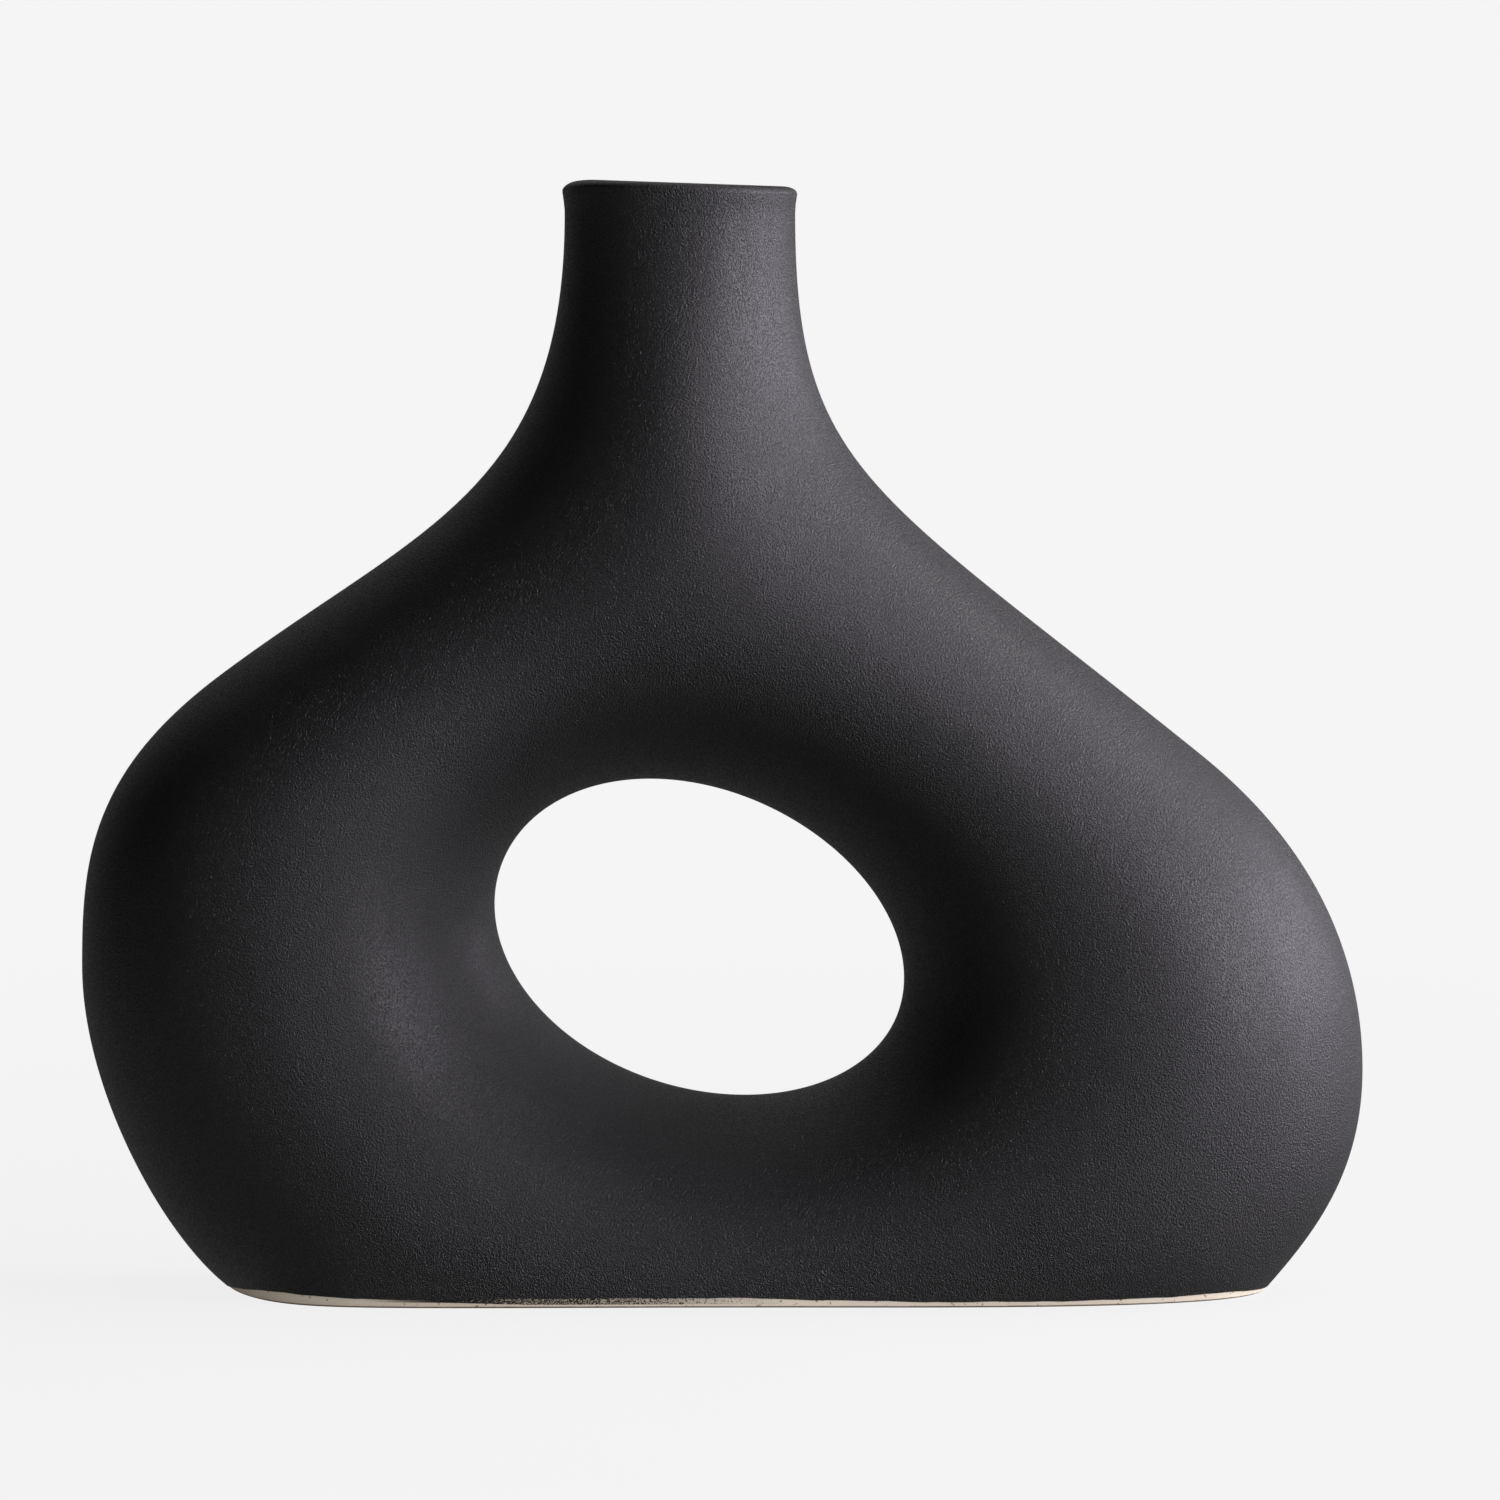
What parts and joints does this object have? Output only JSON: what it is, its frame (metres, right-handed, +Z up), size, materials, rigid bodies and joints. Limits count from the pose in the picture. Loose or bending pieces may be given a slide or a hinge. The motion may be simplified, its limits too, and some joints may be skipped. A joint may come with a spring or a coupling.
{
  "type": "ceramic ring vase",
  "caption": "Flattened ring-shaped ceramic vase with a slanted oval hole, an off-centre round neck and a flat foot, in matte black glaze.",
  "frame": {"origin": "on the ground, under the middle of the body's bounding box", "axes": "+X to the right seen from the front, along the longest extent; +Y to the rear, the shortest extent; +Z up"},
  "size_m": [0.2701, 0.0926, 0.234],
  "materials": {
    "clay": "bare fired stoneware, fine speckle",
    "slip": "bare fired slip",
    "black_glaze": "matte, fine pebbled grain",
    "clear_glaze": "thin semi-gloss coat over clay"
  },
  "bodies": {
    "root": {"front_shell": "clay", "rear_shell": "clay", "left_seam_slip": "slip", "right_seam_slip": "slip", "hole_seam_slip": "slip", "base_slab": "clay", "outer_glaze": "black_glaze", "liner_glaze": "clear_glaze"}
  },
  "joints": []
}
